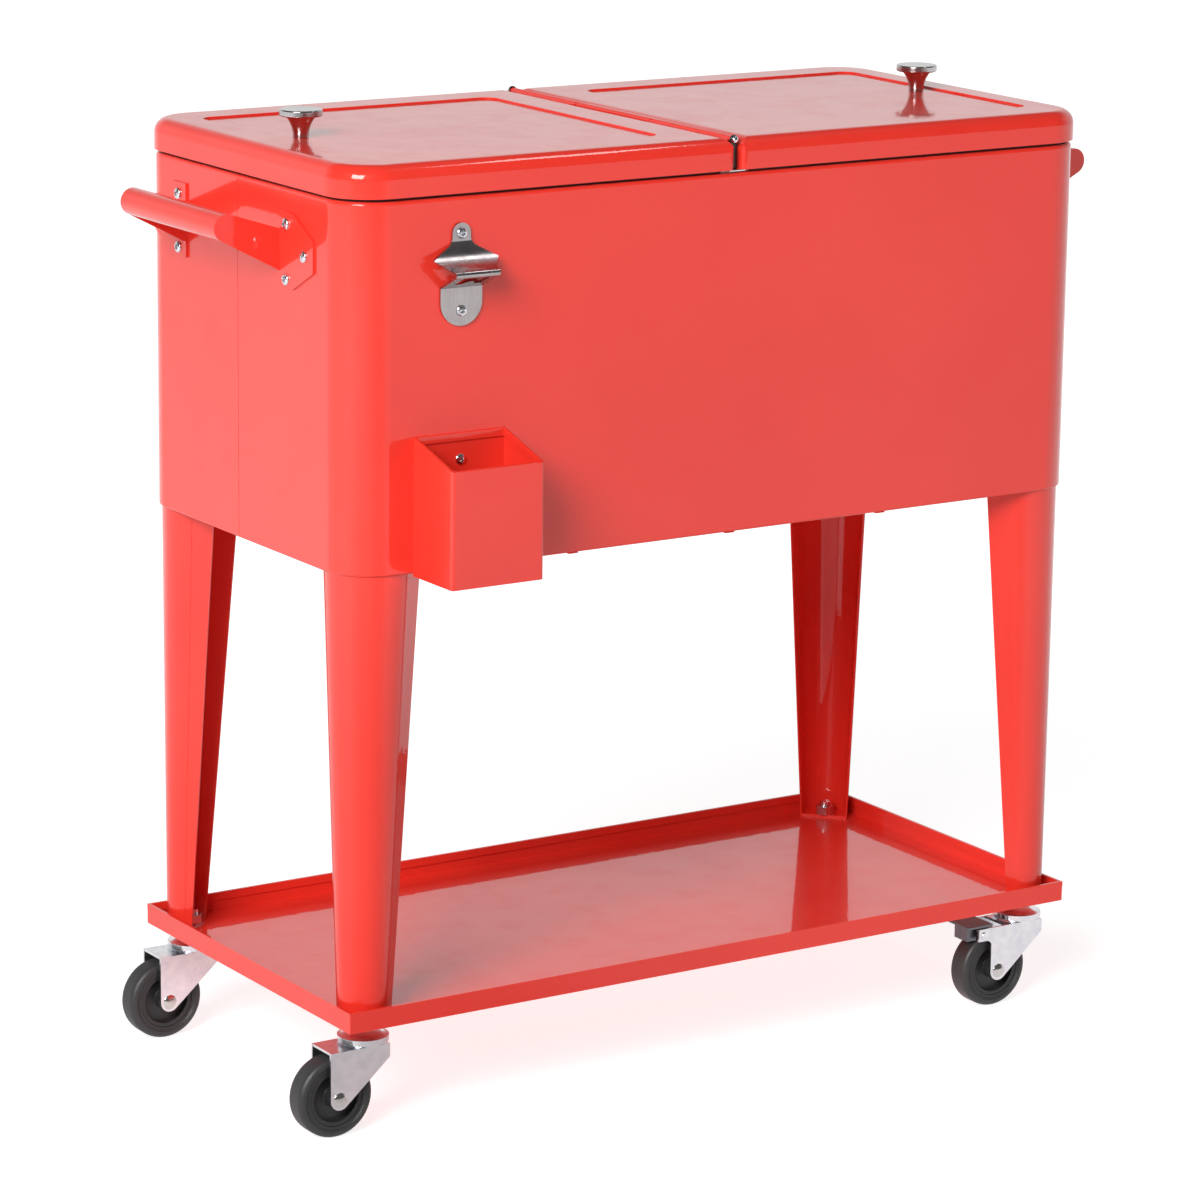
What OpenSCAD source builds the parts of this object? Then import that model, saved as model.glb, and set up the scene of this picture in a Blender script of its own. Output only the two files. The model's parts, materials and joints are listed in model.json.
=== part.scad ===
// Rolling patio cooler: an insulated steel tub with two centre-hinged lids on four tapered
// legs, a lower tray, swivel casters, a bottle opener and a cap catcher.
// Units are millimetres, +Z is up, the front faces -Y and the origin is on the floor under
// the middle of the bounding box.

/* [Tub] */
// Length of the tub and of the tray, along X.
tub_len = 714; // [680:1:760]
// Depth of the tub and of the tray, along Y.
tub_dep = 345; // [330:1:380]
// Height of the tub wall, from its bottom edge to the lid seam.
tub_h = 295; // [270:1:330]
// Radius of the tub's upright corners.
corner_r = 38; // [36:1:44]
// Thickness of the sheet steel in the tub, lids and legs.
sheet = 1.2; // [1:0.1:1.5]
// Thickness of the insulation between the outer wall and the liner.
foam_t = 24; // [20:1:28]

/* [Lids] */
// Height of each lid, from the bottom of its skirt to its top.
lid_h = 25.5; // [24:0.5:34]
// Radius of the rounded edge around each lid's top.
lid_edge_r = 12; // [9:0.5:12]
// Depth of the panel pressed into each lid's top.
panel_drop = 1.5; // [1:0.1:2]
// Gap between the two lids at the hinge.
lid_gap = 7; // [7:0.5:12]
// Distance from the middle of the tub to each knob.
knob_x = 303; // [280:1:306]
// Diameter of the knob's cap.
knob_d = 34.8; // [30:0.2:38]

/* [Stand] */
// Height of the tray's underside above the floor.
tray_z = 91.5; // [91.5:0.5:95]
// Height of the tray's rim.
tray_rim = 17; // [14:1:20]
// Rise from the tray's underside to the tub's bottom edge.
leg_rise = 368.5; // [340:0.5:400]

/* [Casters] */
// Radius of the wheels.
wheel_r = 33.5; // [32:0.5:34]
// Width of the wheels.
wheel_w = 21.6; // [20:0.2:22]
// How far each wheel trails behind its swivel.
trail = 30; // [28:0.5:31]

/* [Fittings] */
// How far the cap catcher stands out from the tub.
catcher_dep = 59.5; // [50:0.5:65]
// Distance of the cap catcher and the opener from the middle of the tub.
fitting_x = 259; // [240:1:265]
// How far each handle reaches out from the tub's end.
handle_out = 59.5; // [54:0.5:64]

/* [Hidden] */
$fn = 96;
eps = 0.01;
fit = 0.06;
loose = 0.3;
half_x = tub_len / 2;
half_y = tub_dep / 2;
tub_z = tray_z + leg_rise;
seam_z = tub_z + tub_h;

// Lids.
rim_lift = 1.5;
lid_z = seam_z + rim_lift;
lid_top = lid_z + lid_h;
lid_lap = 1.5;
lid_out_r = corner_r + lid_lap;
lid_in_r = 5;
hem_h = 5;
hinge_z = lid_top - 2;
barrel_r = 2.6;
pin_r = 1.5;
knuckle_gap = 0.5;
knuckle_front = -47;
knuckle_back = 66;
barrel_front = -164.4;
barrel_back = 168.8;
leaf_t = 1.2;
panel_r = 12;
panel_in = 46;
panel_out = 325;
panel_y = 131;
screw_r = 2.4;

// Pieces at the hinge line.
seal_bottom = seam_z + 0.5;
foot_screw_y = 132;
foot_sheet = 1.2;
foot_w = 15;
foot_len = 48;
foot_y = 171.7;
bar_w = 44;
bar_h = 16;
bracket_t = 1.8;
bracket_w = 5.4;
bracket_r = 3.8;
bracket_front = -166.5;
bracket_back = 170.9;

// The bounding box is centred on the origin, so everything moves by this much along Y.
y_front = half_y + catcher_dep;
y_back = half_y + lid_lap;
mid_y = (y_front - y_back) / 2;

// Liner and insulation.
liner_t = 2;
liner_inset = foam_t + 2 * sheet;
liner_r = 18;
liner_floor = tub_z + 12 + foam_t + 2 * sheet;
flange_inset = 6;
flange_t = 1.2;
plug_gap = 4;
plug_drop = 5;
pan_z = tub_z + 10;

// Handles: the left one sits towards the back and the right one towards the front.
handle_y = 13.5;
handle_z = tub_z + 244.5;
grip_r = 11;
grip_t = 1.6;
web_y = 78.5;
plate_t = 1.8;
plate_out = 131;
plate_h = 30;
handle_screws_y = [89, 89, 117];
handle_screws_z = [21.8, -21.8, 0];

// Legs.
nose_top = 35.3;
nose_bot = 21;
nose_x = half_x - 28;
nose_y = half_y - 28;
nose_shift = 13.6;
leg_t = 1.5;
leg_z0 = tray_z + sheet;
leg_z1 = pan_z;
leg_len = leg_z1 - leg_z0;
leg_tilt = atan(nose_shift / leg_len);
flange_bot = 6;
flange_top = 20;
flange_flare = 8;
foot_t = 2.5;
bolt_r = 4;

// Casters.
stem_r = 5;
cup_r = 21;
cup_h = 16;
cup_z = tray_z - cup_h;
fork_gap = 0.5;
dish_t = 1.5;
dish_r = 17;
fork_t = 2;
fork_in = 14;
fork_top = cup_z - fork_gap - dish_t;
fork_back = 38;
fork_lead = 16;
fork_eye_r = 8.5;
ear_back = 52;
axle_r = 4;
rivet_r = 6.3;
rivet_h = 2.3;
tyre_in = 24;
pedal_pin = [-46, fork_top - 6.5];
pedal_pin_r = 2;

// Fittings on the front.
opener_z = tub_z + 240;
opener_tab_r = 8.25;
opener_plate_r = 18.8;
catcher_w = 83.6;
catcher_back = 109;
catcher_front = 91.4;
catcher_drop = 2;
catcher_screws = [87.4, 25];
opener_screws = [25.6, -35];
wall_screw_r = 2.4;

// Drain on the right end.
drain_y = 60;
drain_z = liner_floor + liner_t + 20;
drain_r = 8;
spout_out = 16;

// Moves a node from the tub's own centre line to the centre of the bounding box.
module placed() {
  translate([0, mid_y, 0])
    children();
}

// Outline of a rectangle with four rounded corners.
module round_rect(len, dep, r) {
  square([len - 2 * r, dep], center = true);
  square([len, dep - 2 * r], center = true);
  for (sx = [-1, 1], sy = [-1, 1])
    translate([sx * (len / 2 - r), sy * (dep / 2 - r)])
      circle(r);
}

// Outline of a lid: large corners at its outer end, small or sharp ones at its inner end.
module lid_outline(x_out, x_in, dy, r_out, r_in) {
  translate([-x_out, -dy + r_out])
    square([x_out - x_in - r_in, 2 * (dy - r_out)]);
  translate([-x_out + r_out, -dy])
    square([x_out - x_in - r_out - r_in, 2 * dy]);
  for (s = [-1, 1])
    translate([-x_out + r_out, s * (dy - r_out)])
      circle(r_out);
  if (r_in > 0) {
    translate([-x_in - r_in - eps, -dy + r_in])
      square([r_in + eps, 2 * (dy - r_in)]);
    for (s = [-1, 1])
      translate([-x_in - r_in, s * (dy - r_in)])
        circle(r_in);
  }
}

// Section of a wall top: upright outside, rounded over at the upper outer corner.
module edge_section(r, h) {
  square([r, h - r]);
  translate([0, h - r])
    intersection() {
      circle(r);
      square(r);
    }
}

// Lid shape without its inner end: the top is rounded over along the other three sides.
module open_pillow(x_out, x_in, dy, r_out, h, edge) {
  linear_extrude(h)
    lid_outline(x_out - edge, x_in, dy - edge, r_out - edge, 0);
  for (s = [-1, 1]) {
    translate([-x_out + r_out, s * (dy - r_out), 0])
      rotate([0, 0, s > 0 ? 90 : 180])
        rotate_extrude(angle = 90)
          translate([r_out - edge, 0])
            edge_section(edge, h);
    translate([s > 0 ? -x_out + r_out : -x_in, s * (dy - edge), 0])
      rotate([90, 0, s * 90])
        linear_extrude(x_out - x_in - r_out)
          edge_section(edge, h);
  }
  translate([-x_out + edge, -dy + r_out, 0])
    rotate([90, 0, 180])
      linear_extrude(2 * (dy - r_out))
        edge_section(edge, h);
}

// Solid lid shape: the inner end is rounded over too, and meets the front and the back in
// a crease at each corner.
module pillow(x_out, x_in, dy, r_out, r_in, h, edge) {
  intersection() {
    open_pillow(x_out, x_in, dy, r_out, h, edge);
    translate([0, dy + 1, 0])
      rotate([90, 0, 0])
        linear_extrude(2 * dy + 2) {
          translate([-x_out - 1, 0])
            square([x_out + 1 - x_in - edge, h]);
          translate([-x_in - edge - eps, 0])
            edge_section(edge, h);
        }
    linear_extrude(h)
      lid_outline(x_out + 1, x_in, dy, r_out, r_in);
  }
}

// Panhead screw or rivet: its head stands on the local z = 0 plane and its shank goes down.
module pan_head(head_r, head_h, shank_r, shank_len) {
  intersection() {
    cylinder(r = head_r, h = head_h);
    translate([0, 0, head_h - dome_r(head_r, head_h)])
      sphere(r = dome_r(head_r, head_h));
  }
  translate([0, 0, -shank_len])
    cylinder(r = shank_r, h = shank_len + eps);
}

// Radius of the sphere that makes a dome of height h over a disc of radius r.
function dome_r(r, h) = (r * r + h * h) / (2 * h);

// Point where the tangent from p touches a circle of radius r round c; s picks the side.
function tangent_at(p, c, r, s) =
  let (v = p - c, a = atan2(v[1], v[0]) + s * acos(r / norm(v)))
  c + r * [cos(a), sin(a)];

// Sweeps a wall section round a rectangle with rounded corners. In the section, x runs
// inward from the outside face and y is height.
module rim_sweep(len, dep, r) {
  for (a = [0 : 90 : 270]) {
    along = a % 180 == 0 ? len : dep;
    across = a % 180 == 0 ? dep : len;
    rotate([0, 0, a]) {
      translate([-along / 2 + r, across / 2, 0])
        rotate([90, 0, 90])
          linear_extrude(along - 2 * r)
            mirror([1, 0])
              children();
      translate([along / 2 - r, across / 2 - r, 0])
        rotate_extrude(angle = 90)
          translate([r, 0])
            mirror([1, 0])
              children();
    }
  }
}

// Puts children at every screw of the right handle, with local z pointing outward.
module at_handle_screws() {
  for (s = [-1, 1], i = [0 : 2])
    translate([half_x, -handle_y + s * handle_screws_y[i], handle_z + handle_screws_z[i]])
      rotate([0, 90, 0])
        children();
}

// Puts children at both handles' screws.
module at_all_handle_screws() {
  for (a = [0, 180])
    rotate([0, 0, a])
      at_handle_screws()
        children();
}

// Puts children at heights zs on the front wall, with local z pointing outward.
module at_front_screws(zs) {
  for (z = zs)
    translate([-fitting_x, -half_y, z])
      rotate([90, 0, 0])
        children();
}

// Puts children at every screw that enters the tub wall.
module at_wall_screws() {
  at_all_handle_screws()
    children();
  at_front_screws([for (z = opener_screws) opener_z + z])
    children();
  at_front_screws([for (z = catcher_screws) tub_z + z])
    children();
}

// Puts children over the axis of each leg and caster.
module at_corners() {
  for (sx = [-1, 1], sy = [-1, 1])
    translate([sx * nose_x, sy * nose_y, 0])
      children();
}

// Puts children over the bolt at the top of each leg.
module at_leg_tops() {
  inward = nose_shift / sqrt(2);
  for (sx = [-1, 1], sy = [-1, 1])
    translate([sx * (nose_x - inward), sy * (nose_y - inward), 0])
      children();
}

// Section of the tub's wall: curled in at the bottom, rounded over at the top, with a ledge
// for the liner.
module tub_section() {
  curl = 2;
  ledge = 12;
  roll = 3;
  top = tub_h - 1;
  translate([0, curl])
    square([sheet, top - roll - curl]);
  translate([roll, top - sheet])
    square([ledge - roll, sheet]);
  translate([roll, top - roll])
    intersection() {
      difference() {
        circle(roll);
        circle(roll - sheet);
      }
      translate([-roll, 0])
        square(roll);
    }
  translate([curl, curl])
    intersection() {
      difference() {
        circle(curl);
        circle(curl - sheet);
      }
      translate([-curl, -curl])
        square(curl);
    }
}

// The tub's whole outer wall with its screw holes and the drain hole.
module tub_wall() {
  difference() {
    translate([0, 0, tub_z])
      rim_sweep(tub_len, tub_dep, corner_r)
        tub_section();
    at_wall_screws()
      translate([0, 0, -2 * sheet])
        cylinder(r = wall_screw_r + loose / 2, h = 4 * sheet);
    translate([half_x - 2 * sheet, drain_y, drain_z])
      rotate([0, 90, 0])
        cylinder(r = drain_r + loose, h = 4 * sheet);
  }
}

// Half of the plan on the side given by s: -1 is the front and 1 the back. The cut runs
// down the left end just behind its middle and down the right end just in front of it.
module plan_half(s) {
  seam_y = 6.5;
  seam_gap = 0.25;
  deep = tub_dep;
  for (sx = [-1, 1])
    translate([sx < 0 ? -tub_len : 0, s > 0 ? -sx * seam_y + seam_gap : -sx * seam_y - seam_gap - deep, 0])
      cube([tub_len, deep, seam_z]);
}

module tub_wrap_front() {
  color([0.80, 0.09, 0.08])
    placed()
      intersection() {
        tub_wall();
        plan_half(-1);
      }
}

module tub_wrap_back() {
  color([0.80, 0.09, 0.08])
    placed()
      intersection() {
        tub_wall();
        plan_half(1);
      }
}

module tub_bottom_pan() {
  lip_h = 10;
  pan_gap = 0.2;
  pan_inset = sheet + pan_gap;
  color([0.78, 0.09, 0.08])
    placed()
      difference() {
        translate([0, 0, pan_z])
          linear_extrude(lip_h)
            round_rect(tub_len - 2 * pan_inset, tub_dep - 2 * pan_inset, corner_r - pan_inset);
        translate([0, 0, pan_z + sheet])
          linear_extrude(lip_h)
            round_rect(tub_len - 2 * pan_inset - 2 * sheet, tub_dep - 2 * pan_inset - 2 * sheet,
                       corner_r - pan_inset - sheet);
        at_leg_tops()
          translate([0, 0, pan_z - sheet])
            cylinder(r = bolt_r + loose, h = 4 * sheet);
      }
}

// Clips that hold the pan to the curled bottom edge, along the front and the back.
module bottom_clips() {
  clip_w = 9;
  clip_t = 1.2;
  clip_len = 8;
  spacing = 151;
  color([0.70, 0.08, 0.07])
    placed()
      for (sy = [-1, 1], i = [-1 : 1])
        translate([i * spacing - clip_w / 2, sy > 0 ? half_y - clip_len - 1.5 : -half_y + 1.5, tub_z - clip_t]) {
          cube([clip_w, clip_len, clip_t]);
          translate([0, sy > 0 ? 0 : clip_len - clip_t, 0])
            cube([clip_w, clip_t, pan_z - tub_z + clip_t]);
        }
}

module tub_foam() {
  foam_gap = 0.3;
  foam_in = 2 * sheet + 2 * foam_gap;
  foam_z0 = pan_z + sheet;
  foam_z1 = seam_z - 1 - sheet - foam_gap;
  bore_len = 12;
  color([0.93, 0.90, 0.78])
    placed()
      difference() {
        translate([0, 0, foam_z0])
          linear_extrude(foam_z1 - foam_z0)
            round_rect(tub_len - 2 * foam_in, tub_dep - 2 * foam_in, corner_r - foam_in);
        translate([0, 0, liner_floor])
          linear_extrude(tub_h)
            round_rect(tub_len - 2 * liner_inset, tub_dep - 2 * liner_inset, liner_r);
        at_wall_screws()
          translate([0, 0, -bore_len])
            cylinder(r = wall_screw_r + 1, h = bore_len);
        at_leg_tops()
          translate([0, 0, foam_z0 - eps])
            cylinder(r = 2 * bolt_r + 1, h = bore_len);
        translate([half_x - 2 * liner_inset, drain_y, drain_z])
          rotate([0, 90, 0])
            cylinder(r = drain_r + loose, h = 2 * liner_inset);
      }
}

module tub_liner() {
  skin_gap = 0.2;
  out = liner_inset + skin_gap;
  rim_z = seam_z - 1;
  color([0.93, 0.93, 0.91])
    placed()
      difference() {
        union() {
          translate([0, 0, liner_floor + skin_gap])
            linear_extrude(rim_z - liner_floor - skin_gap + eps)
              round_rect(tub_len - 2 * out, tub_dep - 2 * out, liner_r - skin_gap);
          translate([0, 0, rim_z])
            linear_extrude(flange_t)
              round_rect(tub_len - 2 * flange_inset, tub_dep - 2 * flange_inset,
                         corner_r - flange_inset);
        }
        translate([0, 0, liner_floor + liner_t + skin_gap])
          linear_extrude(tub_h)
            round_rect(tub_len - 2 * out - 2 * liner_t, tub_dep - 2 * out - 2 * liner_t,
                       liner_r - skin_gap - liner_t);
        translate([half_x - 2 * liner_inset, drain_y, drain_z])
          rotate([0, 90, 0])
            cylinder(r = drain_r + loose, h = 2 * liner_inset);
      }
}

// Bar across the middle of the tub's mouth: an upside-down channel under both lids' ends.
module crossbar() {
  len = tub_dep - 2 * (liner_inset + liner_t + loose);
  top = seam_z - 1 + flange_t;
  bar_t = 2;
  color([0.90, 0.90, 0.88])
    placed()
      difference() {
        translate([-bar_w / 2, -len / 2, top - bar_h])
          cube([bar_w, len, bar_h]);
        translate([-bar_w / 2 + bar_t, -len / 2 + bar_t, top - bar_h - eps])
          cube([bar_w - 2 * bar_t, len - 2 * bar_t, bar_h - bar_t]);
        for (s = [-1, 1])
          translate([0, s * foot_screw_y, top - bar_h])
            cylinder(r = wall_screw_r + loose / 2, h = 2 * bar_h);
      }
}

// Black uprights that stand in the gap between the lids and hold the ends of the hinge pin.
module hinge_brackets() {
  z0 = seam_z - 1 + flange_t + foot_sheet;
  color([0.12, 0.12, 0.13])
    placed()
      for (y = [bracket_front + bracket_t, bracket_back])
        translate([0, y, 0])
          rotate([90, 0, 0])
            linear_extrude(bracket_t)
              difference() {
                union() {
                  translate([-bracket_w / 2, z0])
                    square([bracket_w, hinge_z - z0]);
                  translate([0, hinge_z])
                    circle(bracket_r);
                }
                translate([0, hinge_z])
                  circle(pin_r + fit);
              }
}

// Plated feet that carry the uprights and are screwed to the crossbar.
module hinge_feet() {
  color([0.80, 0.80, 0.82])
    placed()
      for (s = [-1, 1])
        translate([0, 0, seam_z - 1 + flange_t])
          difference() {
            translate([-foot_w / 2, s > 0 ? foot_y - foot_len : -foot_y, 0])
              cube([foot_w, foot_len, foot_sheet]);
            translate([0, s * foot_screw_y, -1])
              cylinder(r = wall_screw_r + loose / 2, h = foot_sheet + 2);
          }
}

module bracket_screws() {
  color([0.75, 0.75, 0.76])
    placed()
      for (s = [-1, 1])
        translate([0, s * foot_screw_y, seam_z - 1 + flange_t + foot_sheet])
          pan_head(3.1, 1.8, wall_screw_r, 8);
}

// Hinge pin with a round head in front and a low rivet head behind.
module hinge_pin() {
  front = bracket_front - fit;
  back = bracket_back + fit;
  color([0.86, 0.86, 0.88])
    placed() {
      translate([0, front, hinge_z])
        rotate([90, 0, 0])
          pan_head(3.3, 3.1, pin_r, back - front);
      translate([0, back, hinge_z])
        rotate([-90, 0, 0])
          pan_head(2.5, 1.2, pin_r, 1);
    }
}

// Outline of the panel pressed into the left lid's top, grown by g.
module panel_outline(g) {
  translate([-(panel_in + panel_out) / 2, 0])
    round_rect(panel_out - panel_in + 2 * g, 2 * panel_y + 2 * g, panel_r + g);
}

// Hinge knuckle of a left-hand lid from y0 to y1, with the leaf that joins it to the lid.
module knuckle(y0, y1) {
  drop = lid_edge_r - lid_top + hinge_z - leaf_t / 2;
  skin_x = sqrt(pow(lid_edge_r, 2) - pow(drop + leaf_t, 2));
  leaf_in = lid_gap / 2 + lid_edge_r - skin_x + 0.4;
  translate([0, y0, hinge_z])
    difference() {
      union() {
        rotate([-90, 0, 0])
          cylinder(r = barrel_r, h = y1 - y0);
        translate([-leaf_in, 0, -leaf_t / 2])
          cube([leaf_in - pin_r - 0.4, y1 - y0, leaf_t]);
      }
      translate([0, -1, 0])
        rotate([-90, 0, 0])
          cylinder(r = pin_r + fit, h = y1 - y0 + 2);
    }
}

// Pressed steel shell of a left-hand lid, without its knuckles. Its skirt ends in a hem.
module lid_shell() {
  x_out = half_x + lid_lap;
  x_in = lid_gap / 2;
  dy = half_y + lid_lap;
  translate([0, 0, lid_z])
    difference() {
      pillow(x_out, x_in, dy, lid_out_r, lid_in_r, lid_h, lid_edge_r);
      difference() {
        translate([0, 0, -eps])
          pillow(x_out - sheet, x_in + sheet, dy - sheet, lid_out_r - sheet, lid_in_r - sheet,
                 lid_h - sheet + eps, lid_edge_r - sheet);
        translate([0, 0, -1])
          linear_extrude(hem_h + 1)
            difference() {
              lid_outline(x_out + 1, x_in - 1, dy + 1, lid_out_r, lid_in_r);
              lid_outline(x_out - 2 * sheet, x_in + 2 * sheet, dy - 2 * sheet,
                          lid_out_r - 2 * sheet, lid_in_r - 2 * sheet);
            }
        translate([0, 0, lid_h - sheet - panel_drop])
          linear_extrude(lid_h)
            panel_outline(sheet);
      }
      translate([0, 0, lid_h - panel_drop])
        linear_extrude(lid_h)
          panel_outline(0);
      translate([-knob_x, 0, 0])
        cylinder(r = screw_r + loose / 2, h = 2 * lid_h);
    }
}

// Plastic panel under a left-hand lid: a flat rim for the seal round a shallow plug.
module lid_liner() {
  t = 2;
  rim_gap = 0.3;
  inset = 2 * sheet + rim_gap;
  x_out = half_x + lid_lap - inset;
  x_in = lid_gap / 2 + inset;
  dy = half_y + lid_lap - inset;
  plug_out = half_x - liner_inset - liner_t - plug_gap;
  plug_in = bar_w / 2 + plug_gap;
  plug_y = half_y - liner_inset - liner_t - plug_gap;
  plug_r = liner_r - plug_gap;
  translate([0, 0, lid_z + rim_gap])
    difference() {
      union() {
        linear_extrude(t)
          lid_outline(x_out, x_in, dy, lid_out_r - inset, lid_in_r - inset);
        translate([-(plug_out + plug_in) / 2, 0, -plug_drop])
          linear_extrude(plug_drop + eps)
            round_rect(plug_out - plug_in, 2 * plug_y, plug_r);
      }
      translate([-(plug_out + plug_in) / 2, 0, -plug_drop + t])
        linear_extrude(plug_drop + t)
          round_rect(plug_out - plug_in - 2 * t, 2 * plug_y - 2 * t, plug_r - t);
    }
}

// Rubber seal under a left-hand lid, with a lip that hangs down along its outer edge.
module lid_seal() {
  seal_w = 8;
  seal_in = 4;
  lip_t = 1.5;
  lip_z = seam_z - 0.8;
  x_out = half_x - seal_in;
  x_in = bar_w / 2 - seal_w - 2;
  dy = half_y - seal_in;
  seal_h = lid_z + loose - seal_bottom;
  translate([0, 0, seal_bottom])
    linear_extrude(seal_h)
      difference() {
        lid_outline(x_out, x_in, dy, corner_r - seal_in, 5);
        lid_outline(x_out - seal_w, x_in + seal_w, dy - seal_w, corner_r - seal_in - seal_w, 2);
      }
  translate([0, 0, lip_z])
    linear_extrude(seal_bottom - lip_z + eps)
      difference() {
        lid_outline(x_out, x_in + 2, dy, corner_r - seal_in, 0);
        lid_outline(x_out - lip_t, x_in, dy - lip_t, corner_r - seal_in - lip_t, 0);
      }
}

// Insulation inside a left-hand lid, above its plastic panel.
module lid_foam() {
  gap = 0.4;
  t = 2;
  side = sheet + gap;
  z0 = lid_z + loose + t + gap;
  z1 = lid_top - panel_drop - sheet - gap;
  x_out = half_x + lid_lap - side;
  x_in = lid_gap / 2 + lid_edge_r;
  dy = half_y + lid_lap - side - lid_edge_r;
  difference() {
    translate([0, 0, z0])
      linear_extrude(z1 - z0)
        lid_outline(x_out - lid_edge_r, x_in, dy, lid_out_r - side - lid_edge_r, 2);
    translate([-knob_x, 0, z1 - 6])
      cylinder(r = 8, h = 7);
  }
}

// Spool-shaped knob of a left-hand lid, standing in the pressed panel.
module knob() {
  neck_r = 6.4;
  flare_r = 12.6;
  cap_z = 17.8;
  cap_t = 5.5;
  edge = 1.1;
  neck_z = 1.6;
  rise = cap_z - neck_z;
  run = flare_r - neck_r;
  arc_r = (run * run + rise * rise) / (2 * run);
  translate([-knob_x, 0, lid_top - panel_drop])
    rotate_extrude()
      difference() {
        union() {
          square([neck_r, neck_z + eps]);
          translate([0, neck_z])
            difference() {
              square([flare_r, rise + eps]);
              translate([neck_r + arc_r, 0])
                circle(arc_r);
            }
          translate([0, cap_z])
            square([knob_d / 2 - edge, cap_t]);
          translate([0, cap_z + edge])
            square([knob_d / 2, cap_t - 2 * edge]);
          for (z = [cap_z + edge, cap_z + cap_t - edge])
            translate([knob_d / 2 - edge, z])
              circle(edge, $fn = 32);
        }
        translate([-eps, -1])
          square([screw_r + fit + eps, 14]);
      }
}

// Screw that holds the knob from inside the lid.
module knob_screw() {
  head_h = 2.5;
  translate([-knob_x, 0, lid_top - panel_drop - sheet - head_h])
    cylinder(r = 5, h = head_h);
  translate([-knob_x, 0, lid_top - panel_drop - sheet - eps])
    cylinder(r = screw_r, h = 13);
}

module left_lid_shell() {
  color([0.82, 0.10, 0.09])
    placed() {
      lid_shell();
      knuckle(barrel_front, knuckle_front - knuckle_gap);
      knuckle(knuckle_back + knuckle_gap, barrel_back);
    }
}

module left_lid_liner() {
  color([0.92, 0.92, 0.90])
    placed()
      lid_liner();
}

module left_lid_foam() {
  color([0.93, 0.90, 0.78])
    placed()
      lid_foam();
}

module left_lid_seal() {
  color([0.07, 0.07, 0.07])
    placed()
      lid_seal();
}

module left_knob() {
  color([0.80, 0.81, 0.83])
    placed()
      knob();
}

module left_knob_screw() {
  color([0.70, 0.70, 0.72])
    placed()
      knob_screw();
}

// Turns a left-hand lid piece into its right-hand twin.
module right_hand() {
  placed()
    mirror([1, 0, 0])
      children();
}

module right_lid_shell() {
  color([0.82, 0.10, 0.09])
    right_hand() {
      lid_shell();
      knuckle(knuckle_front + knuckle_gap, knuckle_back - knuckle_gap);
    }
}

module right_lid_liner() {
  color([0.92, 0.92, 0.90])
    right_hand()
      lid_liner();
}

module right_lid_foam() {
  color([0.93, 0.90, 0.78])
    right_hand()
      lid_foam();
}

module right_lid_seal() {
  color([0.07, 0.07, 0.07])
    right_hand()
      lid_seal();
}

module right_knob() {
  color([0.80, 0.81, 0.83])
    right_hand()
      knob();
}

module right_knob_screw() {
  color([0.70, 0.70, 0.72])
    right_hand()
      knob_screw();
}

// Handle on the right end: a half-round grip between two webs that end in bolted plates.
module handle() {
  web_low = [0, -17.2];
  web_high = [0, 16.5];
  grip_c = [handle_out - grip_r, 20.5];
  open_from = 118;
  open_to = 285;
  far = 3 * grip_r;
  low = tangent_at(web_low, grip_c, grip_r, 1);
  high = tangent_at(web_high, grip_c, grip_r, -1);
  inner = web_y - plate_t;
  chamfer_y = 98.8;
  chamfer_z = 12.5;
  plate_lift = 1.2;
  translate([half_x, -handle_y, handle_z]) {
    for (s = [-1, 1]) {
      mirror([0, s > 0 ? 0 : 1, 0])
        rotate([90, 0, 90])
          linear_extrude(plate_t)
            difference() {
              translate([0, plate_lift])
                polygon([[inner, -plate_h], [chamfer_y, -plate_h], [plate_out, -chamfer_z],
                         [plate_out, chamfer_z], [chamfer_y, plate_h], [inner, plate_h]]);
              for (i = [0 : 2])
                translate([handle_screws_y[i], handle_screws_z[i]])
                  circle(wall_screw_r + loose / 2);
            }
      translate([0, s > 0 ? web_y : -inner, 0])
        rotate([90, 0, 0])
          linear_extrude(plate_t) {
            polygon([web_low, low, grip_c, high, web_high]);
            translate(grip_c)
              circle(grip_r);
          }
    }
    translate([grip_c[0], inner, grip_c[1]])
      rotate([90, 0, 0])
        linear_extrude(2 * inner)
          difference() {
            circle(grip_r);
            circle(grip_r - grip_t);
            polygon([[0, 0], far * [cos(open_from), sin(open_from)],
                     far * [cos(180), sin(180)], far * [cos(open_to), sin(open_to)]]);
          }
  }
}

module left_handle() {
  color([0.82, 0.10, 0.09])
    placed()
      rotate([0, 0, 180])
        handle();
}

module right_handle() {
  color([0.82, 0.10, 0.09])
    placed()
      handle();
}

module handle_screws() {
  color([0.75, 0.75, 0.76])
    placed()
      at_all_handle_screws()
        translate([0, 0, plate_t])
          pan_head(4.7, 2.6, wall_screw_r, plate_t + sheet + 6);
}

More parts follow.
